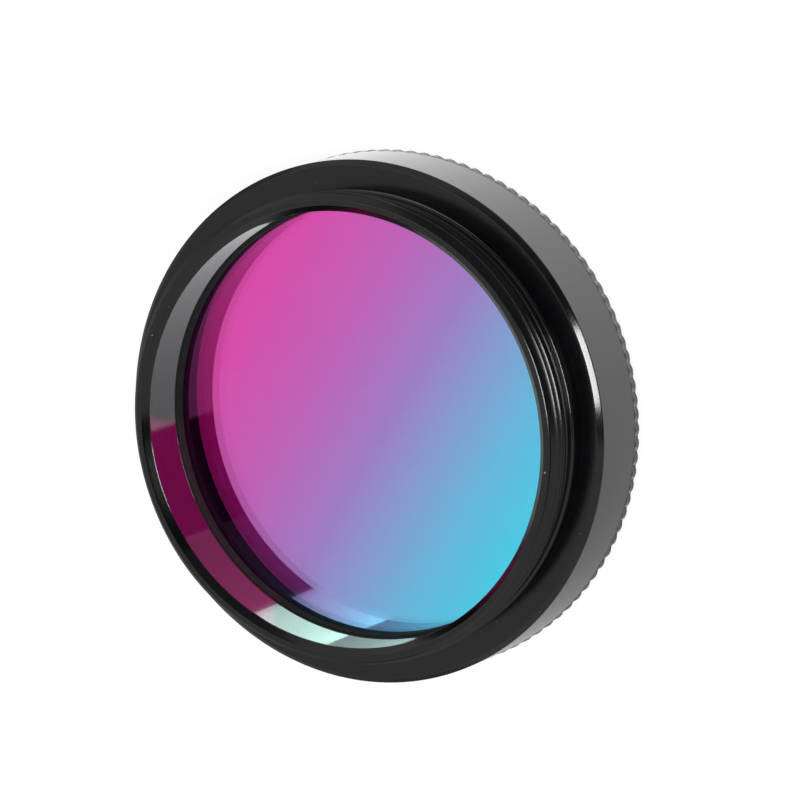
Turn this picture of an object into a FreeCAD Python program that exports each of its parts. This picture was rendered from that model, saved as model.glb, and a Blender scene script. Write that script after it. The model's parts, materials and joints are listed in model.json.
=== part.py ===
import FreeCAD, Part
import math
import os

# A 1.25-inch screw-in filter for telescope eyepieces, in millimetres.
# +Z is the optical axis. The filter lies on its rear face at Z 0, with its male collar up.

# Standard thread of 1.25-inch filters, M28.5 x 0.6. It is fine, so it is kept plain here:
# the male thread as its crests, the female one as its minor diameter.
THREAD_NOMINAL_D = 28.5
THREAD_PITCH = 0.6
THREAD_CREST_PLAY = 0.1
MINOR_PER_PITCH = 1.0825

# Cell, outside. The shoulder makes the body 31.6 across, which goes into a 31.75 barrel.
SHOULDER_WIDTH = 1.6
BODY_HEIGHT = 5.35
COLLAR_HEIGHT = 3.0
SHOULDER_CHAMFER = 0.3
LEAD_CHAMFER = 0.4
RELIEF_WIDTH = 0.35
RELIEF_DEPTH = 0.35

# Straight knurl round the rear edge, whose rolled crests stand a little proud of the band
KNURL_HEIGHT = 0.9
KNURL_COUNT = 112
KNURL_DEPTH = 0.16
KNURL_RISE = 0.05
KNURL_CHAMFER = 0.15

# Cell, inside, from the wall between the thread's crests and the bore
COLLAR_WALL = 1.1
BORE_CHAMFER = 0.39
BORE_DEPTH = 3.42
LIP_CHAMFER = 0.1
LIP_WALL = 0.7
REAR_THREAD_CHAMFER = 0.4

# Glass disc, which seats on the back of the lip. Its pocket is also the bore of the ring's
# own thread, which the disc passes.
GLASS_SEAT_WIDTH = 0.6
GLASS_THICKNESS = 0.7
GLASS_BEVEL = 0.1
GLASS_PLAY = 0.08

# Retaining ring, a little behind the step where the female thread ends
RING_PLAY = 0.05
RING_WIDTH = 0.55
RING_THICKNESS = 0.8
RING_RECESS = 0.1
RING_CHAMFER = 0.08
NOTCH_COUNT = 2
NOTCH_WIDTH = 1.2
NOTCH_DEPTH = 0.3

# Places that follow from the sizes
collar_r = (THREAD_NOMINAL_D - THREAD_CREST_PLAY) / 2
relief_r = collar_r - RELIEF_DEPTH
female_r = (THREAD_NOMINAL_D - MINOR_PER_PITCH * THREAD_PITCH) / 2
body_r = collar_r + SHOULDER_WIDTH
knurl_r = body_r + KNURL_RISE
bore_r = collar_r - COLLAR_WALL
lip_r = bore_r - LIP_CHAMFER
glass_r = lip_r + GLASS_SEAT_WIDTH
pocket_r = glass_r + GLASS_PLAY
ring_r = pocket_r - RING_PLAY
ring_bore_r = ring_r - RING_WIDTH

front_z = BODY_HEIGHT + COLLAR_HEIGHT
bore_end_z = front_z - BORE_DEPTH
lip_top_z = bore_end_z - LIP_CHAMFER
glass_top_z = lip_top_z - LIP_WALL
glass_bottom_z = glass_top_z - GLASS_THICKNESS
ring_bottom_z = glass_bottom_z - RING_THICKNESS
step_z = ring_bottom_z - RING_RECESS


def turned(points):
    """Solid turned about Z from a closed outline of (radius, height) points."""
    corners = [FreeCAD.Vector(r, 0, z) for r, z in points]
    outline = Part.makePolygon(corners + corners[:1])
    return Part.Face(outline).revolve(FreeCAD.Vector(0, 0, 0), FreeCAD.Vector(0, 0, 1), 360)


def on_circle(radius, turn):
    """Point on the base plane at a radius and a share of a turn round Z."""
    angle = 2 * math.pi * turn
    return FreeCAD.Vector(radius * math.cos(angle), radius * math.sin(angle), 0)


def knurl_blank():
    """Full-height bar with rounded knurl teeth that meet in sharp valleys."""
    valley_r = knurl_r - KNURL_DEPTH
    teeth = []
    for tooth in range(KNURL_COUNT):
        start = on_circle(valley_r, tooth / KNURL_COUNT)
        crest = on_circle(knurl_r, (tooth + 0.5) / KNURL_COUNT)
        end = on_circle(valley_r, (tooth + 1) / KNURL_COUNT)
        teeth.append(Part.Arc(start, crest, end).toShape())
    return Part.Face(Part.Wire(teeth)).extrude(FreeCAD.Vector(0, 0, KNURL_HEIGHT))


def cell_hole():
    """The space that is turned out of the cell, from the front bore to the female thread."""
    past = body_r
    thread_mouth_r = female_r + REAR_THREAD_CHAMFER
    return turned([
        (0, -past),
        (thread_mouth_r, -past),
        (thread_mouth_r, 0),
        (female_r, REAR_THREAD_CHAMFER),
        (female_r, step_z),
        (pocket_r, step_z),
        (pocket_r, glass_top_z),
        (lip_r, glass_top_z),
        (lip_r, lip_top_z),
        (bore_r, bore_end_z),
        (bore_r, front_z - BORE_CHAMFER),
        (bore_r + BORE_CHAMFER, front_z),
        (bore_r + BORE_CHAMFER, front_z + past),
        (0, front_z + past),
    ])


def filter_cell():
    """The cell, one turned piece with its knurl rolled round the rear edge."""
    relief_top_z = BODY_HEIGHT + RELIEF_WIDTH
    smooth = turned([
        (0, KNURL_HEIGHT),
        (body_r, KNURL_HEIGHT),
        (body_r, BODY_HEIGHT - SHOULDER_CHAMFER),
        (body_r - SHOULDER_CHAMFER, BODY_HEIGHT),
        (relief_r, BODY_HEIGHT),
        (relief_r, relief_top_z),
        (collar_r, relief_top_z + RELIEF_DEPTH),
        (collar_r, front_z - LEAD_CHAMFER),
        (collar_r - LEAD_CHAMFER, front_z),
        (0, front_z),
    ])
    knurl_envelope = turned([
        (0, 0),
        (knurl_r - KNURL_DEPTH - KNURL_CHAMFER, 0),
        (knurl_r, KNURL_DEPTH + KNURL_CHAMFER),
        (knurl_r, KNURL_HEIGHT),
        (0, KNURL_HEIGHT),
    ])
    knurled = knurl_blank().common(knurl_envelope)
    return smooth.fuse(knurled).cut(cell_hole())


def filter_glass():
    """The coated disc, with ground edges."""
    return turned([
        (0, glass_bottom_z),
        (glass_r - GLASS_BEVEL, glass_bottom_z),
        (glass_r, glass_bottom_z + GLASS_BEVEL),
        (glass_r, glass_top_z - GLASS_BEVEL),
        (glass_r - GLASS_BEVEL, glass_top_z),
        (0, glass_top_z),
    ])


def retaining_ring():
    """The ring behind the glass, with notches for a pin spanner in its rear face."""
    ring = turned([
        (ring_bore_r, ring_bottom_z + RING_CHAMFER),
        (ring_bore_r + RING_CHAMFER, ring_bottom_z),
        (ring_r - RING_CHAMFER, ring_bottom_z),
        (ring_r, ring_bottom_z + RING_CHAMFER),
        (ring_r, glass_bottom_z),
        (ring_bore_r, glass_bottom_z),
    ])
    for notch in range(NOTCH_COUNT):
        cutter = Part.makeBox(
            body_r, NOTCH_WIDTH, 2 * NOTCH_DEPTH,
            FreeCAD.Vector(0, -NOTCH_WIDTH / 2, ring_bottom_z - NOTCH_DEPTH),
        )
        middle = FreeCAD.Vector(0, 0, 0)
        cutter.rotate(middle, FreeCAD.Vector(0, 0, 1), 360 * notch / NOTCH_COUNT)
        ring = ring.cut(cutter)
    return ring


os.makedirs("parts", exist_ok=True)
nodes = {
    "filter_cell": filter_cell(),
    "filter_glass": filter_glass(),
    "retaining_ring": retaining_ring(),
}
for name, shape in nodes.items():
    shape.exportStep(f"parts/{name}.step")
    print(name, "solids", len(shape.Solids), "valid", shape.isValid(), "volume", round(shape.Volume, 2))
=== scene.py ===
import json
import math

import bmesh
import bpy
from mathutils import Matrix, Vector


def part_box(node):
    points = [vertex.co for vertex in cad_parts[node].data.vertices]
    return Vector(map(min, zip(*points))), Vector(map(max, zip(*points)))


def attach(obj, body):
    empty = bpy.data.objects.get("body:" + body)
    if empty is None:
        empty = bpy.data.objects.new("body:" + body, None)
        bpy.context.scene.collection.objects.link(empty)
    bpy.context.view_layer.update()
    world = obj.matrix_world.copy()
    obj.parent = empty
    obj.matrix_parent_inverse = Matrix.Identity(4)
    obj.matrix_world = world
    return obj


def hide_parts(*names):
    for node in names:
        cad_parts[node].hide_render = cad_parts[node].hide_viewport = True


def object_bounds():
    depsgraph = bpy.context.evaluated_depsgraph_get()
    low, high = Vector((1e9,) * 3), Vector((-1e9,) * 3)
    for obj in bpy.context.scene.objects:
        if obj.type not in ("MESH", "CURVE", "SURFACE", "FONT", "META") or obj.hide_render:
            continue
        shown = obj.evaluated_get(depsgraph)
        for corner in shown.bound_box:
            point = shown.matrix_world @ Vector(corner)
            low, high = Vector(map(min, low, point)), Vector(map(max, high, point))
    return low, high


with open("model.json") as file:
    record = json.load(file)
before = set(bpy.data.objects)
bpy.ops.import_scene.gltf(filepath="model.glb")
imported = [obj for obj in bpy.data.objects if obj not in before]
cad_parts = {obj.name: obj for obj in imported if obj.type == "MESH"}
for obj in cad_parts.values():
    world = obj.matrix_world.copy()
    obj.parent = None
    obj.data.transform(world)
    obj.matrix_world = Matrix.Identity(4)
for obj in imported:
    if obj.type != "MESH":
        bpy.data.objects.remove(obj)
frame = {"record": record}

# The dressed model of a 1.25-inch screw-in filter for telescope eyepieces, in metres. It lies
# on its rear face at Z 0, with the optical axis along +Z and the male collar up.
MM = 0.001
cad_low, cad_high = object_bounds()

# Sizes from the solids
mounts = {mount["name"]: mount for mount in frame["record"]["mounts"]}
glass_low, glass_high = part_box("filter_glass")
ring_low, ring_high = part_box("retaining_ring")
front_z = cad_high.z
crest_r = mounts["male_thread"]["dims"]["r_mm"] * MM
female_minor_r = mounts["female_thread"]["dims"]["r_mm"] * MM
glass_r = glass_high.x
ring_r = ring_high.x

# Thread M28.5 x 0.6, inside and outside. Its crests are flat with chamfered edges, and outside it
# runs out slowly towards the shoulder.
THREAD_MAJOR_R = 14.25 * MM
THREAD_PITCH = 0.6 * MM
THREAD_FLANK = math.radians(30)
CREST_FLAT = 0.05 * MM
CREST_CHAMFER = 0.1 * MM
MALE_THREAD_DEPTH = 0.35 * MM
MALE_CREST_HEIGHT = 7.39 * MM
MALE_RUN_OUT = 0.24
FEMALE_CREST_HEIGHT = 1.2 * MM

# Outside of the cell
SHOULDER_WIDTH = 1.6 * MM
BODY_HEIGHT = 5.35 * MM
SHOULDER_CHAMFER = 0.3 * MM
LEAD_CHAMFER = 0.4 * MM
BASE_FILLET = 0.22 * MM
BASE_FILLET_STEPS = 6

# Edges: the radius of the worn ones and of the crisp ones, the steps of their arc, the narrow
# margin beside it, and how long a side has to be to get one
EDGE_ROUND = 0.05 * MM
CRISP_ROUND = EDGE_ROUND / 2
EDGE_STEPS = 4
EDGE_REACH = 0.08 * MM
LONG_SIDE = 4 * EDGE_REACH

# Knurl
KNURL_HEIGHT = 0.9 * MM
KNURL_RUN_OUT = 0.2 * MM
KNURL_COUNT = 112
KNURL_DEPTH = 0.16 * MM
KNURL_RISE = 0.05 * MM
KNURL_CHAMFER = 0.15 * MM
KNURL_BEVEL_SHARES = (0.25, 0.5, 0.75)
KNURL_FADE_SHARES = (0.2, 0.4, 0.6, 0.8, 1.0)
COLUMNS_PER_TOOTH = 4
TOOTH_START = 0.0001

# Inside of the cell
COLLAR_WALL = 1.1 * MM
BORE_CHAMFER = 0.39 * MM
BORE_DEPTH = 3.42 * MM
LIP_CHAMFER = 0.1 * MM
POCKET_PLAY = 0.08 * MM
RING_RECESS = 0.1 * MM
REAR_THREAD_CHAMFER = 0.4 * MM

# Glass disc and retaining ring, which are turned with fewer columns than the knurled cell
PLAIN_COLUMNS = 128
GLASS_BEVEL = 0.1 * MM
GLASS_EDGE_ROUND = GLASS_BEVEL / 8
RING_WIDTH = 0.55 * MM
RING_CHAMFER = 0.08 * MM
NOTCH_COUNT = 2
NOTCH_WIDTH = 1.2 * MM
NOTCH_DEPTH = 0.3 * MM

# Places that follow from the sizes
relief_r = crest_r - MALE_THREAD_DEPTH
body_r = crest_r + SHOULDER_WIDTH
knurl_r = body_r + KNURL_RISE
bore_r = crest_r - COLLAR_WALL
lip_r = bore_r - LIP_CHAMFER
pocket_r = glass_r + POCKET_PLAY
face_r = crest_r - LEAD_CHAMFER
mouth_r = female_minor_r + REAR_THREAD_CHAMFER
male_top_z = front_z - (relief_r - face_r)
bore_end_z = front_z - BORE_DEPTH
lip_top_z = bore_end_z - LIP_CHAMFER
step_z = ring_low.z - RING_RECESS
female_low_z = mouth_r - THREAD_MAJOR_R
knurled_columns = KNURL_COUNT * COLUMNS_PER_TOOTH

# Finish of each surface of the anodised pieces: how rough it is, and how much clear gloss lies
# on it
FINISHES = {
    "band": (0.14, 0.0),
    "chamfer": (0.14, 0.0),
    "shoulder": (0.16, 0.0),
    "thread": (0.2, 0.0),
    "face": (0.3, 0.0),
    "mouth": (0.12, 0.0),
    "bore": (0.05, 1.0),
    "lip": (0.85, 0.0),
    "knurl": (0.2, 0.0),
    "facing": (0.3, 0.0),
    "inside": (0.4, 0.0),
}
SURFACE_FIELDS = ("roughness", "lacquer", "edge")

# Outlines


class Outline:
    """A closed section that is turned about Z, as rows that say what the surface does there."""

    def __init__(self):
        self.rows = []
        self.finish = FINISHES["inside"]

    def surface(self, finish):
        """Names the finish of the surfaces that follow."""
        self.finish = FINISHES[finish]

    def point(self, r, z, round_by=0.0, knurl=0.0):
        """A corner at the end of a surface, which is rounded by a radius."""
        self.rows.append({"r": r, "z": z, "round": round_by, "knurl": knurl, "finish": self.finish})

    def thread(self, root_r, low, high, depth, crest_height, run_out=1.0, upward=True):
        """Rows along a helix. Its ridges stand out of the root by a depth, inwards if that is
        negative."""
        rows = []
        turn = math.floor((low - THREAD_PITCH - crest_height) / THREAD_PITCH)
        while crest_height + (turn - 1) * THREAD_PITCH < high:
            for offset, share in ridge_profile(abs(depth)):
                rows.append({
                    "r": root_r, "z": crest_height + turn * THREAD_PITCH + offset,
                    "round": 0.0, "knurl": 0.0, "finish": self.finish,
                    "low": low, "high": high, "run_out": run_out, "ridge": share * depth,
                })
            turn += 1
        self.rows.extend(rows if upward else rows[::-1])

    def finished(self):
        """The rows with their round corners, each with a narrow margin on both sides."""
        done = []
        count = len(self.rows)
        for i, row in enumerate(self.rows):
            if row["round"] == 0.0:
                done.append(row)
                continue
            before = self.rows[i - 1]
            after = self.rows[(i + 1) % count]
            here = Vector((row["r"], row["z"]))
            back = Vector((before["r"], before["z"])) - here
            ahead = Vector((after["r"], after["z"])) - here
            spots = fillet(here, back.normalized(), ahead.normalized(), row["round"])
            if back.length > LONG_SIDE:
                done.append({**row, **spot(spots[0] + back.normalized() * EDGE_REACH)})
            for k, place in enumerate(spots):
                finish = row["finish"] if 2 * k < len(spots) else after["finish"]
                done.append({**row, **spot(place), "finish": finish, "edge": 1.0})
            if ahead.length > LONG_SIDE:
                margin = spot(spots[-1] + ahead.normalized() * EDGE_REACH)
                done.append({**row, **margin, "finish": after["finish"]})
        return done


def spot(place):
    """A place in the section, as the radius and height of a row."""
    return {"r": place.x, "z": place.y}


def ridge_profile(depth):
    """One pitch of thread round a crest, as heights off the crest and shares of the depth."""
    shoulder = CREST_FLAT / 2 + CREST_CHAMFER
    foot = shoulder + (depth - CREST_CHAMFER) * math.tan(THREAD_FLANK)
    half = [(CREST_FLAT / 2, 1.0), (shoulder, 1 - CREST_CHAMFER / depth), (foot, 0.0)]
    return [(-offset, share) for offset, share in half[::-1]] + half


def fillet(here, back, ahead, radius, steps=EDGE_STEPS):
    """Points on the arc that rounds a corner between two directions."""
    half = back.angle(ahead) / 2
    reach = radius / math.tan(half)
    centre = here + (back + ahead).normalized() * (radius / math.sin(half))
    start = here + back * reach - centre
    end = here + ahead * reach - centre
    sweep = start.angle(end)
    spots = []
    for k in range(steps + 1):
        part = k / steps
        arm = start * math.sin((1 - part) * sweep) + end * math.sin(part * sweep)
        spots.append(centre + arm / math.sin(sweep))
    return spots


def cell_outline():
    """The cell's section, from the rear face up the outside and down through the bore."""
    edge = Outline()
    edge.point(mouth_r, 0, CRISP_ROUND)
    edge.surface("facing")
    knurl_foot_r = knurl_r - KNURL_DEPTH - KNURL_CHAMFER
    edge.point(knurl_foot_r, 0, EDGE_ROUND, knurl=1)
    edge.surface("knurl")
    for share in KNURL_BEVEL_SHARES:
        rise = share * (KNURL_DEPTH + KNURL_CHAMFER)
        edge.point(knurl_foot_r + rise, rise, knurl=1)
    edge.point(knurl_r, KNURL_DEPTH + KNURL_CHAMFER, EDGE_ROUND, knurl=1)
    edge.point(knurl_r, KNURL_HEIGHT - KNURL_RUN_OUT, knurl=1)
    for share in KNURL_FADE_SHARES:
        fade = 0.5 + 0.5 * math.cos(math.pi * share)
        height = KNURL_HEIGHT - (1 - share) * KNURL_RUN_OUT
        edge.point(body_r + fade * KNURL_RISE, height, knurl=fade)
    edge.surface("band")
    edge.point(body_r, KNURL_HEIGHT + EDGE_REACH)
    edge.point(body_r, BODY_HEIGHT - SHOULDER_CHAMFER, EDGE_ROUND)
    edge.surface("chamfer")
    edge.point(body_r - SHOULDER_CHAMFER, BODY_HEIGHT, EDGE_ROUND)
    edge.surface("shoulder")
    foot = Vector((relief_r, BODY_HEIGHT))
    outward, upward = Vector((1, 0)), Vector((0, 1))
    for place in fillet(foot, outward, upward, BASE_FILLET, BASE_FILLET_STEPS):
        edge.point(place.x, place.y)
        edge.surface("chamfer")
    edge.surface("thread")
    thread_low_z = BODY_HEIGHT + BASE_FILLET + EDGE_REACH
    edge.point(relief_r, thread_low_z)
    edge.thread(relief_r, thread_low_z, male_top_z, MALE_THREAD_DEPTH, MALE_CREST_HEIGHT,
                MALE_RUN_OUT)
    edge.point(relief_r, male_top_z)
    edge.point(face_r, front_z, EDGE_ROUND)
    edge.surface("face")
    edge.point(bore_r + BORE_CHAMFER, front_z, CRISP_ROUND)
    edge.surface("mouth")
    edge.point(bore_r, front_z - BORE_CHAMFER, CRISP_ROUND)
    edge.surface("bore")
    edge.point(bore_r, bore_end_z, EDGE_ROUND)
    edge.surface("lip")
    edge.point(lip_r, lip_top_z, EDGE_ROUND)
    edge.point(lip_r, glass_high.z)
    edge.surface("inside")
    edge.point(pocket_r, glass_high.z)
    edge.point(pocket_r, step_z)
    edge.point(THREAD_MAJOR_R, step_z)
    edge.surface("thread")
    edge.thread(THREAD_MAJOR_R, female_low_z, step_z, female_minor_r - THREAD_MAJOR_R,
                FEMALE_CREST_HEIGHT, upward=False)
    edge.point(THREAD_MAJOR_R, female_low_z)
    return edge.finished()


def glass_outline():
    """The disc's section, with ground edges. It starts and ends on the axis."""
    edge = Outline()
    edge.point(0, glass_low.z)
    edge.point(glass_r / 2, glass_low.z)
    edge.point(glass_r - GLASS_BEVEL, glass_low.z, GLASS_EDGE_ROUND)
    edge.point(glass_r, glass_low.z + GLASS_BEVEL, GLASS_EDGE_ROUND)
    edge.point(glass_r, glass_high.z - GLASS_BEVEL, GLASS_EDGE_ROUND)
    edge.point(glass_r - GLASS_BEVEL, glass_high.z, GLASS_EDGE_ROUND)
    edge.point(glass_r / 2, glass_high.z)
    edge.point(0, glass_high.z)
    return edge.finished()


def ring_outline():
    """The retaining ring's section."""
    inside_r = ring_r - RING_WIDTH
    edge = Outline()
    edge.point(inside_r + RING_CHAMFER, ring_low.z, CRISP_ROUND)
    edge.point(ring_r - RING_CHAMFER, ring_low.z, CRISP_ROUND)
    edge.point(ring_r, ring_low.z + RING_CHAMFER, CRISP_ROUND)
    edge.point(ring_r, ring_high.z)
    edge.point(inside_r, ring_high.z)
    edge.point(inside_r, ring_low.z + RING_CHAMFER, CRISP_ROUND)
    return edge.finished()


# Geometry Nodes: turning an outline about Z


class Tree:
    """Short calls that add and join the nodes of one node tree."""

    def __init__(self, tree):
        self.tree = tree

    def node(self, kind, operation=None, **settings):
        made = self.tree.nodes.new(kind)
        if operation:
            made.operation = operation
        for name, value in settings.items():
            setattr(made, name, value)
        return made

    def plug(self, value, socket):
        """Puts a socket's value or a plain value into an input socket."""
        if isinstance(value, bpy.types.NodeSocket):
            self.tree.links.new(value, socket)
        else:
            socket.default_value = value

    def math(self, operation, *values):
        made = self.node("ShaderNodeMath", operation)
        for value, socket in zip(values, made.inputs):
            self.plug(value, socket)
        return made.outputs[0]


def turning_tree():
    """A tree that turns a row of points about Z. Rows with a thread climb with the turn, and
    rows with a knurl are cut back between its teeth."""
    tree = bpy.data.node_groups.new("Turned on a lathe", "GeometryNodeTree")
    face = tree.interface
    face.new_socket("Outline", in_out="INPUT", socket_type="NodeSocketGeometry")
    face.new_socket("Rows", in_out="INPUT", socket_type="NodeSocketInt")
    face.new_socket("Columns", in_out="INPUT", socket_type="NodeSocketInt")
    for name in ("Thread Pitch", "Knurl Radius", "Knurl Depth", "Knurl Count", "Seam"):
        face.new_socket(name, in_out="INPUT", socket_type="NodeSocketFloat")
    face.new_socket("Material", in_out="INPUT", socket_type="NodeSocketMaterial")
    face.new_socket("Turned", in_out="OUTPUT", socket_type="NodeSocketGeometry")
    t = Tree(tree)
    given = t.node("NodeGroupInput").outputs

    # One vertex for each row and column of a grid
    grid = t.node("GeometryNodeMeshGrid")
    t.plug(t.math("ADD", given["Columns"], 1), grid.inputs["Vertices X"])
    t.plug(given["Rows"], grid.inputs["Vertices Y"])
    index = t.node("GeometryNodeInputIndex").outputs[0]
    column = t.math("FLOOR", t.math("DIVIDE", t.math("ADD", index, 0.5), given["Rows"]))
    row = t.math("SUBTRACT", index, t.math("MULTIPLY", column, given["Rows"]))
    turn = t.math("DIVIDE", column, given["Columns"])

    def sampled(name):
        """A number that the outline's row carries."""
        field = t.node("GeometryNodeInputNamedAttribute", data_type="FLOAT")
        field.inputs["Name"].default_value = name
        sample = t.node("GeometryNodeSampleIndex", data_type="FLOAT")
        t.plug(given["Outline"], sample.inputs["Geometry"])
        t.plug(field.outputs["Attribute"], sample.inputs["Value"])
        t.plug(row, sample.inputs["Index"])
        return sample.outputs["Value"]

    low = sampled("thread_low")
    high = sampled("thread_high")
    ridge = sampled("ridge")
    climb = t.math("MULTIPLY", turn, given["Thread Pitch"])
    climb = t.math("MULTIPLY", climb, sampled("on_thread"))
    height = t.math("ADD", sampled("height"), climb)
    height = t.math("MAXIMUM", low, t.math("MINIMUM", high, height))
    run_out = t.math("MULTIPLY", t.math("SUBTRACT", height, low), sampled("run_out"))
    room = t.math("MINIMUM", run_out, t.math("SUBTRACT", high, height))
    standing = t.math("MINIMUM", t.math("ABSOLUTE", ridge), room)
    radius = t.math("ADD", sampled("radius"), t.math("MULTIPLY", standing, t.math("SIGN", ridge)))

    # A tooth is a parabola between two sharp valleys. Its start is a little early, so that
    # rounding can't put a valley's column into the tooth before.
    tooth = t.math("MULTIPLY", turn, given["Knurl Count"])
    across = t.math("FRACT", t.math("ADD", tooth, TOOTH_START))
    valley = t.math("POWER", t.math("SUBTRACT", t.math("MULTIPLY", across, 2), 1), 2)
    cut = t.math("MULTIPLY", t.math("MULTIPLY", valley, given["Knurl Depth"]), sampled("knurl"))
    radius = t.math("MINIMUM", radius, t.math("SUBTRACT", given["Knurl Radius"], cut))

    angle = t.math("MULTIPLY", turn, math.tau)
    place = t.node("ShaderNodeCombineXYZ")
    t.plug(t.math("MULTIPLY", radius, t.math("COSINE", angle)), place.inputs["X"])
    t.plug(t.math("MULTIPLY", radius, t.math("SINE", angle)), place.inputs["Y"])
    t.plug(height, place.inputs["Z"])
    moved = t.node("GeometryNodeSetPosition")
    t.plug(grid.outputs["Mesh"], moved.inputs["Geometry"])
    t.plug(place.outputs[0], moved.inputs["Position"])
    shaped = moved.outputs[0]
    for name in SURFACE_FIELDS:
        kept = t.node("GeometryNodeStoreNamedAttribute", data_type="FLOAT", domain="POINT")
        t.plug(shaped, kept.inputs["Geometry"])
        kept.inputs["Name"].default_value = name
        t.plug(sampled(name), kept.inputs["Value"])
        shaped = kept.outputs[0]
    closed = t.node("GeometryNodeMergeByDistance")
    t.plug(shaped, closed.inputs["Geometry"])
    t.plug(given["Seam"], closed.inputs["Distance"])
    real = t.node("GeometryNodeRealizeInstances")
    t.plug(closed.outputs[0], real.inputs["Geometry"])
    dressed = t.node("GeometryNodeSetMaterial")
    t.plug(real.outputs[0], dressed.inputs["Geometry"])
    t.plug(given["Material"], dressed.inputs["Material"])
    out = t.node("NodeGroupOutput")
    t.plug(dressed.outputs[0], out.inputs["Turned"])
    return tree


def outline_mesh(name, rows, closed):
    """A row of points that carries what the turning tree reads at each. A closed one returns to
    its start."""
    rows = rows + rows[:1] if closed else rows
    mesh = bpy.data.meshes.new(name)
    mesh.from_pydata([(row["r"], 0, row["z"]) for row in rows], [], [])
    far = 1.0
    columns_of = {
        "radius": [row["r"] for row in rows],
        "height": [row["z"] for row in rows],
        "knurl": [row["knurl"] for row in rows],
        "ridge": [row.get("ridge", 0.0) for row in rows],
        "run_out": [row.get("run_out", 1.0) for row in rows],
        "on_thread": [1.0 if "ridge" in row else 0.0 for row in rows],
        "thread_low": [row.get("low", -far) for row in rows],
        "thread_high": [row.get("high", far) for row in rows],
        "edge": [row.get("edge", 0.0) for row in rows],
        "roughness": [row["finish"][0] for row in rows],
        "lacquer": [row["finish"][1] for row in rows],
    }
    for field, values in columns_of.items():
        mesh.attributes.new(field, "FLOAT", "POINT").data.foreach_set("value", values)
    return mesh, len(rows)


def set_inputs(modifier, values):
    """Sets a node modifier's inputs by the identifiers of their sockets."""
    for item in modifier.node_group.interface.items_tree:
        if item.in_out == "INPUT" and item.name in values:
            modifier[item.identifier] = values[item.name]


def evaluated(obj):
    """The mesh that an object's modifiers make."""
    ready = obj.evaluated_get(bpy.context.evaluated_depsgraph_get())
    return bpy.data.meshes.new_from_object(ready)


# Where the shading breaks, and how near the two ends of a turn are joined
SHARP_FROM = math.radians(38)
SEAM = 0.0005 * MM


def turned(name, rows, material, column_count, closed=True):
    """A finished piece, turned from an outline."""
    mesh, row_count = outline_mesh(name + "_outline", rows, closed)
    piece = bpy.data.objects.new(name, mesh)
    bpy.context.scene.collection.objects.link(piece)
    lathe = piece.modifiers.new("lathe", "NODES")
    lathe.node_group = TURNING
    set_inputs(lathe, {
        "Rows": row_count,
        "Columns": column_count,
        "Thread Pitch": THREAD_PITCH,
        "Knurl Radius": knurl_r,
        "Knurl Depth": KNURL_DEPTH,
        "Knurl Count": float(KNURL_COUNT),
        "Seam": SEAM,
        "Material": material,
    })
    made = evaluated(piece)
    piece.modifiers.clear()
    made.name = name
    made.materials.clear()
    made.materials.append(material)
    made.polygons.foreach_set("material_index", [0] * len(made.polygons))
    made.shade_smooth()
    made.set_sharp_from_angle(angle=SHARP_FROM)
    piece.data = made
    return piece


TURNING = turning_tree()


# Shader nodes


class Shade(Tree):
    """The same for a shader tree, with the nodes that its patterns need."""

    def place(self):
        """The point on the piece, in its own frame."""
        return self.node("ShaderNodeTexCoord").outputs["Object"]

    def parts(self, vector):
        made = self.node("ShaderNodeSeparateXYZ")
        self.plug(vector, made.inputs[0])
        return made.outputs

    def joined(self, x, y, z):
        made = self.node("ShaderNodeCombineXYZ")
        for value, socket in zip((x, y, z), made.inputs):
            self.plug(value, socket)
        return made.outputs[0]

    def level(self):
        """The point's X and Y."""
        x, y, _ = self.parts(self.place())
        return x, y

    def length(self, x, y):
        """How long a level arrow is."""
        squares = [self.math("MULTIPLY", side, side) for side in (x, y)]
        return self.math("SQRT", self.math("ADD", *squares))

    def along(self, x, y, way):
        """How far a level arrow goes along a way."""
        return self.math("ADD", self.math("MULTIPLY", x, way[0]), self.math("MULTIPLY", y, way[1]))

    def field(self, name):
        """A number that the mesh carries."""
        return self.node("ShaderNodeAttribute", attribute_name=name).outputs["Fac"]

    def noise(self, vector, scale, detail=2.0):
        made = self.node("ShaderNodeTexNoise")
        self.plug(vector, made.inputs["Vector"])
        self.plug(scale, made.inputs["Scale"])
        self.plug(detail, made.inputs["Detail"])
        return made.outputs[0]

    def rise(self, value, start, end):
        """0 up to a start, 1 from an end on, and smooth between them."""
        made = self.node("ShaderNodeMapRange", interpolation_type="SMOOTHSTEP")
        for given, name in ((value, "Value"), (start, "From Min"), (end, "From Max")):
            self.plug(given, made.inputs[name])
        return made.outputs[0]

    def blend(self, share, first, second):
        """A colour that goes from the first to the second."""
        made = self.node("ShaderNodeMix", data_type="RGBA")
        self.plug(share, made.inputs[0])
        self.plug(first, made.inputs[6])
        self.plug(second, made.inputs[7])
        return made.outputs[2]

    def ramp(self, value, stops):
        """A run of colours, each at its place between 0 and 1."""
        made = self.node("ShaderNodeValToRGB")
        self.plug(value, made.inputs["Fac"])
        run = made.color_ramp.elements
        run[0].position, run[0].color = stops[0]
        run[1].position, run[1].color = stops[-1]
        for place, colour in stops[1:-1]:
            run.new(place).color = colour
        return made.outputs["Color"]

    def effect(self, tree, **values):
        """One of the shared effects, with this material's own values."""
        made = self.node("ShaderNodeGroup", node_tree=tree)
        for name, value in values.items():
            self.plug(value, made.inputs[name.replace("_", " ")])
        return made.outputs


def effect_tree(name, inputs, outputs):
    """An empty shader node group with named numbers in and out."""
    tree = bpy.data.node_groups.new(name, "ShaderNodeTree")
    for label, value in inputs.items():
        socket = tree.interface.new_socket(label, in_out="INPUT", socket_type="NodeSocketFloat")
        socket.default_value = value
    for label in outputs:
        tree.interface.new_socket(label, in_out="OUTPUT", socket_type="NodeSocketFloat")
    t = Shade(tree)
    return t, t.node("NodeGroupInput").outputs, t.node("NodeGroupOutput").inputs


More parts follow.
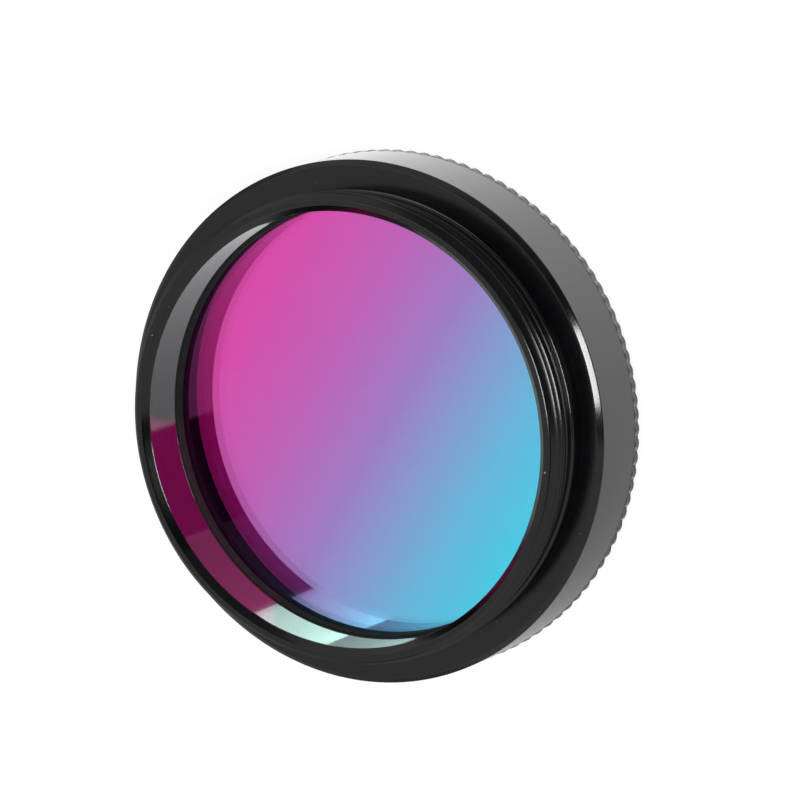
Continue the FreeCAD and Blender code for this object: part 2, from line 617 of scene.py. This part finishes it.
# Patterns: how coarse the sheen of the turning marks is, where the nicks and specks start in
# their noise, how soft their edge is, and how far their share moves that start
SHEEN_SCALE = 0.3
NICK_START = 0.8
NICK_EDGE = 0.06
SPECK_START = 0.9
SPECK_EDGE = 0.05
SPOT_REACH = 0.4


def turning_marks():
    """Fine rings that the tool leaves, round the axis on every turned surface."""
    t, given, out = effect_tree("Turning marks", {"Spacing": 0.05 * MM, "Waver": 100.0},
                                ("Height", "Sheen"))
    x, y, z = t.parts(t.place())
    across = t.math("DIVIDE", t.length(x, y), given["Spacing"])
    up = t.math("DIVIDE", z, given["Spacing"])
    fine = t.joined(across, up, t.math("MULTIPLY", x, given["Waver"]))
    t.plug(t.noise(fine, 1.0), out["Height"])
    wide = t.joined(across, up, t.math("MULTIPLY", y, given["Waver"]))
    t.plug(t.noise(wide, SHEEN_SCALE), out["Sheen"])
    return t.tree


def anodised_grain():
    """The cloudy tone and the fine tooth of dyed anodising."""
    t, given, out = effect_tree("Anodised grain", {"Cloud Size": 2 * MM, "Tooth Size": 0.05 * MM},
                                ("Cloud", "Tooth"))
    place = t.place()
    t.plug(t.noise(place, t.math("DIVIDE", 1.0, given["Cloud Size"]), detail=3.0), out["Cloud"])
    t.plug(t.noise(place, t.math("DIVIDE", 1.0, given["Tooth Size"]), detail=1.0), out["Tooth"])
    return t.tree


def scattered(t, size, share, start, edge, detail):
    """1 in scattered spots, which cover more as their share rises."""
    noise = t.noise(t.place(), t.math("DIVIDE", 1.0, size), detail)
    start = t.math("SUBTRACT", start, t.math("MULTIPLY", share, SPOT_REACH))
    return t.rise(noise, start, t.math("ADD", start, edge))


def handling():
    """What use leaves on a small part: nicks along its edges, and specks of dust."""
    t, given, out = effect_tree("Handling", {
        "Edge": 0.0,
        "Nick Size": 0.3 * MM,
        "Nick Share": 0.3,
        "Speck Size": 0.12 * MM,
        "Speck Share": 0.2,
    }, ("Bare", "Dust"))
    nicks = scattered(t, given["Nick Size"], given["Nick Share"], NICK_START, NICK_EDGE, 2.0)
    t.plug(t.math("MULTIPLY", nicks, given["Edge"]), out["Bare"])
    specks = scattered(t, given["Speck Size"], given["Speck Share"], SPECK_START, SPECK_EDGE, 0.0)
    t.plug(specks, out["Dust"])
    return t.tree


def smudges():
    """Faint smudges on a polished face."""
    t, given, out = effect_tree("Smudges", {"Smudge Size": 2 * MM, "Strength": 0.02},
                                ("Roughness",))
    smudge = t.noise(t.place(), t.math("DIVIDE", 1.0, given["Smudge Size"]), detail=3.0)
    t.plug(t.math("MULTIPLY", smudge, given["Strength"]), out["Roughness"])
    return t.tree


TURNING_MARKS = turning_marks()
ANODISED_GRAIN = anodised_grain()
HANDLING = handling()
SMUDGES = smudges()


def new_material(name):
    material = bpy.data.materials.new(name)
    material.use_nodes = True
    return material, Shade(material.node_tree), material.node_tree.nodes["Principled BSDF"].inputs


# Anodised aluminium: the sizes of its patterns, and how much each of them does
MARKS_WAVER = 60.0
CLOUD_SIZE = 1.6 * MM
STREAK_SHARE = 0.8
DUST_COVER = 0.5
DUST_ROUGHENS = 0.3
TOOTH_RELIEF = 0.3
RELIEF_DEPTH = 0.006 * MM
RELIEF_STRENGTH = 0.5
LACQUER_ROUGHNESS = 0.03
DYED_SPECULAR = 0.3
BARE_METAL = (0.5, 0.5, 0.52, 1)
DUST = (0.3, 0.3, 0.29, 1)


def anodised(name, dye, faded, marks, tooth, nick_share, speck_share):
    """Black anodised aluminium, whose finish on each surface comes from the mesh."""
    material, t, shader = new_material(name)
    turned_rings = t.effect(TURNING_MARKS, Spacing=marks, Waver=MARKS_WAVER)
    grain = t.effect(ANODISED_GRAIN, Cloud_Size=CLOUD_SIZE, Tooth_Size=tooth)
    use = t.effect(HANDLING, Edge=t.field("edge"), Nick_Share=nick_share, Speck_Share=speck_share)
    tone = t.blend(grain["Cloud"], dye, faded)
    tone = t.blend(use["Bare"], tone, BARE_METAL)
    tone = t.blend(t.math("MULTIPLY", use["Dust"], DUST_COVER), tone, DUST)
    t.plug(tone, shader["Base Color"])
    finish = t.field("roughness")
    streak = t.math("SUBTRACT", turned_rings["Sheen"], 0.5)
    streak = t.math("MULTIPLY", streak, t.math("MULTIPLY", finish, STREAK_SHARE))
    dulled = t.math("MULTIPLY", use["Dust"], DUST_ROUGHENS)
    sparkle = t.math("MULTIPLY", t.math("SUBTRACT", grain["Tooth"], 0.5), finish)
    rough = t.math("ADD", t.math("ADD", finish, streak), dulled)
    t.plug(t.math("ADD", rough, sparkle), shader["Roughness"])
    t.plug(use["Bare"], shader["Metallic"])
    t.plug(t.field("lacquer"), shader["Coat Weight"])
    shader["Coat Roughness"].default_value = LACQUER_ROUGHNESS
    shader["Specular IOR Level"].default_value = DYED_SPECULAR
    rings = t.math("MULTIPLY", turned_rings["Height"], finish)
    relief = t.math("ADD", rings, t.math("MULTIPLY", grain["Tooth"], TOOTH_RELIEF))
    bump = t.node("ShaderNodeBump")
    bump.inputs["Distance"].default_value = RELIEF_DEPTH
    bump.inputs["Strength"].default_value = RELIEF_STRENGTH
    t.plug(relief, bump.inputs["Height"])
    t.plug(bump.outputs[0], shader["Normal"])
    return material


cell_black = anodised(
    "cell_anodised", dye=(0.001, 0.001, 0.0015, 1), faded=(0.004, 0.004, 0.005, 1),
    marks=0.06 * MM, tooth=0.04 * MM, nick_share=0.1, speck_share=0.0)
ring_black = anodised(
    "ring_anodised", dye=(0.004, 0.004, 0.005, 1), faded=(0.012, 0.012, 0.013, 1),
    marks=0.08 * MM, tooth=0.05 * MM, nick_share=0.4, speck_share=0.2)

# Coated glass. The interference colour runs across the disc along a level way, through these
# colours at so many millimetres from its middle. To light that comes by way of the bore wall the
# coating shows a painted reflection colour instead, which stands in for its colour at another
# slant.
# Round the second way the wall also shows a painted glow in the disc, which begins between these
# cosines.
COATING_RUN = (-0.8, -0.6)
MAGENTA = (209, 75, 166)
ORCHID = (182, 98, 180)
VIOLET = (152, 124, 191)
SKY_BLUE = (100, 180, 214)
CYAN = (70, 200, 224)
COATING_STOPS = ((-10.5, MAGENTA), (-4.0, ORCHID), (1.0, VIOLET), (8.0, SKY_BLUE), (12.0, CYAN))
PAINTED_WALL_REFLECTION = (0.56, 0.96, 0.76, 1)
PAINTED_GLOW_FROM_WALL = (0.85, 0.0, 0.3, 1)
PAINTED_GLOW_TOWARDS = (-0.199, 0.98)
PAINTED_GLOW_EDGES = (0.8746, 0.895)

# Each face of the disc is part mirror and part clear glass: the share that it mirrors, what it
# passes, and what the whole disc mirrors. Light goes to and fro between the faces, so the rear
# one has a first share and echoes.
FRONT_MIRROR = 0.5
REAR_MIRROR = 0.6
FRONT_PASSES = 0.48
REAR_PASSES = 0.38
WHOLE_MIRROR = 0.71
FIRST_SHARE = 0.92
ECHO_SHARE = 0.46
HAZE = 0.02
# The painted glow that the floor gives to glass, as it reaches the disc from behind
PAINTED_LIGHT_BEHIND = (0.9, 0.07, 0.42)
SETTLING_ROUNDS = 12
GLASS_IOR = 1.5
FRONT_SMUDGES = 2.5 * MM
REAR_SMUDGES = 2 * MM
WHITE = (1, 1, 1, 1)
BLACK = (0, 0, 0, 1)


def linear(screen):
    """A colour off a screen, from 0 to 255, as the light that it stands for."""
    return [(c / 255 / 12.92) if c <= 10 else ((c / 255 + 0.055) / 1.055) ** 2.4 for c in screen]


def rear_inside(mirror):
    """What the rear face has to be from inside the glass for the whole disc to mirror a colour."""
    root = mirror ** 0.5
    return min(1.0, FIRST_SHARE * root / (1 + ECHO_SHARE * root) / REAR_MIRROR)


def passed(mirror, painted_behind):
    """The painted light from the floor that comes through the whole disc."""
    return FRONT_PASSES * mirror ** 0.5 * REAR_PASSES * rear_inside(mirror) ** 0.5 * painted_behind


def mirror_for(screen):
    """The mirror that shows a colour of the screen together with the painted light from the floor.
    """
    made = []
    for wanted, painted_behind in zip(linear(screen), PAINTED_LIGHT_BEHIND):
        mirror = wanted
        for _ in range(SETTLING_ROUNDS):
            rest = wanted - HAZE - passed(mirror, painted_behind)
            mirror = min(1.0, max(0.0, rest / WHOLE_MIRROR))
        made.append(mirror)
    return made


def coating_place():
    """The place along the colour run, from 0 at one edge of the disc to 1 at the other."""
    t, given, out = effect_tree("Coating run", {"Disc Radius": glass_r}, ("Place",))
    along = t.along(*t.level(), COATING_RUN)
    scale = t.math("DIVIDE", 0.5, given["Disc Radius"])
    t.plug(t.math("MULTIPLY_ADD", along, scale, 0.5), out["Place"])
    return t.tree


COATING_PLACE = coating_place()


def run_stops(colours):
    """Stops of a colour ramp, from places in millimetres."""
    return [(0.5 + 0.5 * place * MM / glass_r, (*colour, 1)) for place, colour in colours]


def mirror_colours():
    """What the mirror has to be for the coating to show its colours under white light."""
    return run_stops([(place, mirror_for(screen)) for place, screen in COATING_STOPS])


def rear_colours():
    """What the rear face has to be from inside the glass."""
    stops = []
    for place, screen in COATING_STOPS:
        stops.append((place, [rear_inside(mirror) for mirror in mirror_for(screen)]))
    return run_stops(stops)


def painted_glow_side(t):
    """1 on the side of the disc where the bore wall also shows the painted glow."""
    x, y = t.level()
    radius = t.length(x, y)
    return t.rise(t.math("DIVIDE", t.along(x, y, PAINTED_GLOW_TOWARDS), radius), *PAINTED_GLOW_EDGES)


def coated_face(name, mirror_share, smudge_size):
    """Clear glass that mirrors a share of the light, with its colour still to come."""
    material, t, shader = new_material(name)
    shader["Metallic"].default_value = mirror_share
    shader["Transmission Weight"].default_value = 1.0
    shader["IOR"].default_value = GLASS_IOR
    t.plug(t.effect(SMUDGES, Smudge_Size=smudge_size)["Roughness"], shader["Roughness"])
    inside = t.node("ShaderNodeNewGeometry").outputs["Backfacing"]
    run = t.effect(COATING_PLACE)["Place"]
    return material, t, shader, inside, run


def coated_front():
    """The front of the disc, which also has the painted reflection colour and the painted glow that
    the bore wall shows.
    """
    material, t, shader, inside, run = coated_face("coated_glass", FRONT_MIRROR, FRONT_SMUDGES)
    off_wall = t.node("ShaderNodeLightPath").outputs["Is Glossy Ray"]
    # Painted reflection: rays that come by way of the bore wall see the coating in this colour
    mirror = t.blend(off_wall, t.ramp(run, mirror_colours()), PAINTED_WALL_REFLECTION)
    t.plug(t.blend(inside, mirror, WHITE), shader["Base Color"])
    # Painted glow: on one side the disc glows for those rays, standing in for light from behind it
    painted_glow = t.blend(t.math("MULTIPLY", off_wall, painted_glow_side(t)), BLACK, PAINTED_GLOW_FROM_WALL)
    t.plug(t.blend(inside, painted_glow, BLACK), shader["Emission Color"])
    shader["Emission Strength"].default_value = 1.0
    return material


def coated_rear():
    """The rear of the disc, which mirrors what the front lets in and passes the rest."""
    material, t, shader, inside, run = coated_face("coated_glass_rear", REAR_MIRROR, REAR_SMUDGES)
    outer = t.ramp(run, mirror_colours())
    inner = t.ramp(run, rear_colours())
    t.plug(t.blend(inside, outer, inner), shader["Base Color"])
    return material


# The pieces


def cut_notches(piece):
    """Cuts the spanner notches into the ring's rear face."""
    cutter_mesh = bpy.data.meshes.new("notch")
    build = bmesh.new()
    for notch in range(NOTCH_COUNT):
        around = Matrix.Rotation(math.tau * notch / NOTCH_COUNT, 4, "Z")
        centre = Matrix.Translation((ring_r, 0, ring_low.z))
        length = 2 * RING_WIDTH + ring_r / 2
        size = Matrix.Diagonal((length, NOTCH_WIDTH, 2 * NOTCH_DEPTH, 1))
        bmesh.ops.create_cube(build, size=1, matrix=around @ centre @ size)
    build.to_mesh(cutter_mesh)
    build.free()
    cutter = bpy.data.objects.new("notch", cutter_mesh)
    bpy.context.scene.collection.objects.link(cutter)
    slots = piece.modifiers.new("notches", "BOOLEAN")
    slots.object = cutter
    slots.solver = "EXACT"
    made = evaluated(piece)
    piece.modifiers.clear()
    piece.data = made
    bpy.data.objects.remove(cutter)


def coat_rear(piece, material):
    """Gives the rear half of the disc its own material."""
    piece.data.materials.append(material)
    middle = (glass_low.z + glass_high.z) / 2
    for face in piece.data.polygons:
        if face.center.z < middle:
            face.material_index = 1


cell = turned("cell", cell_outline(), cell_black, knurled_columns)
glass = turned("glass", glass_outline(), coated_front(), PLAIN_COLUMNS, closed=False)
coat_rear(glass, coated_rear())
ring = turned("ring", ring_outline(), ring_black, PLAIN_COLUMNS)
cut_notches(ring)
for piece, node, slot in (
    (cell, "filter_cell", "cell_anodised"),
    (glass, "filter_glass", "coated_glass"),
    (ring, "retaining_ring", "ring_anodised"),
):
    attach(piece, "root")
    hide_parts(node)


# Camera

CAMERA_TILT = math.radians(29.39)
CAMERA_ROLL = math.radians(-109.12)
CAMERA_DISTANCE = 324.8 * MM
CAMERA_LENS = 247.5
CAMERA_NEAR = 0.01
FRONT_ASIDE = 3.64 * MM
FRONT_BELOW = 1.89 * MM


def add_camera():
    """A camera that looks down on the collar from the side, as in the photograph."""
    toward = Vector((0, -math.sin(CAMERA_TILT), math.cos(CAMERA_TILT)))
    level = Vector((0, math.cos(CAMERA_TILT), math.sin(CAMERA_TILT)))
    side = Vector((1, 0, 0))
    right = side * math.cos(CAMERA_ROLL) + level * math.sin(CAMERA_ROLL)
    up = level * math.cos(CAMERA_ROLL) - side * math.sin(CAMERA_ROLL)
    middle = Vector((0, 0, front_z)) + right * FRONT_ASIDE + up * FRONT_BELOW
    camera = bpy.data.objects.new("camera", bpy.data.cameras.new("camera"))
    camera.data.lens = CAMERA_LENS
    camera.data.clip_start = CAMERA_NEAR
    turned_to = Matrix((right, up, toward)).transposed().to_4x4()
    camera.matrix_world = Matrix.Translation(middle + toward * CAMERA_DISTANCE) @ turned_to
    bpy.context.scene.collection.objects.link(camera)
    bpy.context.scene.camera = camera


add_camera()

# Floor: how bright it is to the camera, its painted colour and brightness to glass, and its
# brightness to metal near the part with a painted pool of light on one side
FLOOR_SIDE = 1.6
FLOOR_GAP = 0.01 * MM
FLOOR_GREY = (0.25, 0.25, 0.25, 1)
FLOOR_ROUGHNESS = 0.9
FLOOR_TO_EYE = 0.8
FLOOR_PAINTED_GLOW_TO_GLASS = (0.85, 0.06, 0.4, 1)
FLOOR_TO_METAL = 0.45
NEAR_REACH = (20 * MM, 30 * MM)
PAINTED_POOL_SPOT = (10 * MM, -14 * MM)
PAINTED_POOL_REACH = (4 * MM, 28 * MM)
PAINTED_POOL_LIGHT = 1.2


def add_floor():
    """A pale floor that is near white to the camera, and keeps the shadow. To glass it gives a
    painted glow in the coating's own colour, and to metal a painted pool of light on one side,
    close to the part."""
    material, t, shader = new_material("floor")
    shader["Base Color"].default_value = FLOOR_GREY
    shader["Roughness"].default_value = FLOOR_ROUGHNESS
    path = t.node("ShaderNodeLightPath").outputs
    x, y = t.level()
    near = t.rise(t.length(x, y), NEAR_REACH[1], NEAR_REACH[0])
    aside, ahead = (t.math("SUBTRACT", side, middle) for side, middle in zip((x, y), PAINTED_POOL_SPOT))
    # Painted pool of light, which only reflections in metal show
    painted_pool = t.rise(t.length(aside, ahead), PAINTED_POOL_REACH[1], PAINTED_POOL_REACH[0])
    glow_and_painted_pool = t.math("MULTIPLY_ADD", painted_pool, PAINTED_POOL_LIGHT, t.math("MULTIPLY", near, FLOOR_TO_METAL))
    through = path["Is Transmission Ray"]
    to_metal = t.math("MULTIPLY", path["Is Glossy Ray"], t.math("SUBTRACT", 1, through))
    glow_and_painted_pool = t.math("MULTIPLY", to_metal, glow_and_painted_pool)
    strength = t.math("MULTIPLY_ADD", path["Is Camera Ray"], FLOOR_TO_EYE, glow_and_painted_pool)
    t.plug(t.math("ADD", strength, through), shader["Emission Strength"])
    # Painted glow: glass sees the floor in magenta
    t.plug(t.blend(through, WHITE, FLOOR_PAINTED_GLOW_TO_GLASS), shader["Emission Color"])
    bpy.ops.mesh.primitive_plane_add(size=FLOOR_SIDE, location=(0, 0, -FLOOR_GAP))
    floor = bpy.context.object
    floor.name = "floor"
    floor.data.materials.append(material)


# Room. The dark camera stands on the -Y side, so the white room has a dark gap there, and a grey
# stretch beside it. Their places are the bearing from -Y towards -X, in degrees, and the height
# of a unit vector.
ROOM_GREY = (0.2, 0.2, 0.2, 1)
ROOM_DARK = (0.005, 0.005, 0.005, 1)
DARK_BEARINGS = (-26, 32)
GREY_BEARINGS = (-82, -26)
BEARING_SOFT = 1.0
GAP_HEIGHTS = (0.34, 0.97)
GAP_SOFT = 0.02


def between(t, value, low, high, soft):
    """1 between two values, with soft ends."""
    above = t.rise(value, low - soft, low + soft)
    return t.math("MULTIPLY", above, t.rise(value, high + soft, high - soft))


def add_room():
    """A white room all round, with a dark gap where the camera stands."""
    world = bpy.data.worlds.new("studio")
    world.use_nodes = True
    bpy.context.scene.world = world
    t = Shade(world.node_tree)
    x, y, z = t.parts(t.node("ShaderNodeTexCoord").outputs["Generated"])
    bearing = t.math("ARCTAN2", t.math("MULTIPLY", x, -1), t.math("MULTIPLY", y, -1))
    bearing = t.math("MULTIPLY", bearing, 180 / math.pi)
    high = between(t, z, *GAP_HEIGHTS, GAP_SOFT)
    tone = WHITE
    for bearings, colour in ((GREY_BEARINGS, ROOM_GREY), (DARK_BEARINGS, ROOM_DARK)):
        gap = t.math("MULTIPLY", between(t, bearing, *bearings, BEARING_SOFT), high)
        tone = t.blend(gap, tone, colour)
    seen = t.node("ShaderNodeLightPath").outputs["Is Camera Ray"]
    background = world.node_tree.nodes["Background"].inputs
    t.plug(t.blend(seen, tone, WHITE), background["Color"])
    background["Strength"].default_value = 1.0


# Lamps: the point that each faces, the way from there to the lamp, its distance and size, and
# how bright its reflection is
LAMPS = {
    "strip": {
        "aim": (-1.4 * MM, -15.6 * MM, 5.3 * MM),
        "way": (-0.106, -0.866, 0.487),
        "distance": 0.15,
        "size": (0.068, 0.02),
        "radiance": 42,
    },
    "overhead": {
        "aim": (0, 0, 0),
        "way": (0.475, 0.11, 0.871),
        "distance": 0.6,
        "size": (0.235, 0.22),
        "radiance": 3.1,
    },
}


def add_lamp(name, aim, way, distance, size, radiance):
    """A rectangular lamp that faces a point of the part."""
    lamp = bpy.data.lights.new(name, "AREA")
    lamp.shape = "RECTANGLE"
    lamp.size, lamp.size_y = size
    lamp.energy = radiance * math.pi * size[0] * size[1]
    holder = bpy.data.objects.new(name, lamp)
    towards = Vector(way).normalized()
    facing = towards.to_track_quat("Z", "Y").to_matrix().to_4x4()
    holder.matrix_world = Matrix.Translation(Vector(aim) + towards * distance) @ facing
    bpy.context.scene.collection.objects.link(holder)


add_floor()
add_room()
for lamp_name, settings in LAMPS.items():
    add_lamp(lamp_name, **settings)

view = bpy.context.scene.view_settings
view.view_transform = "Standard"
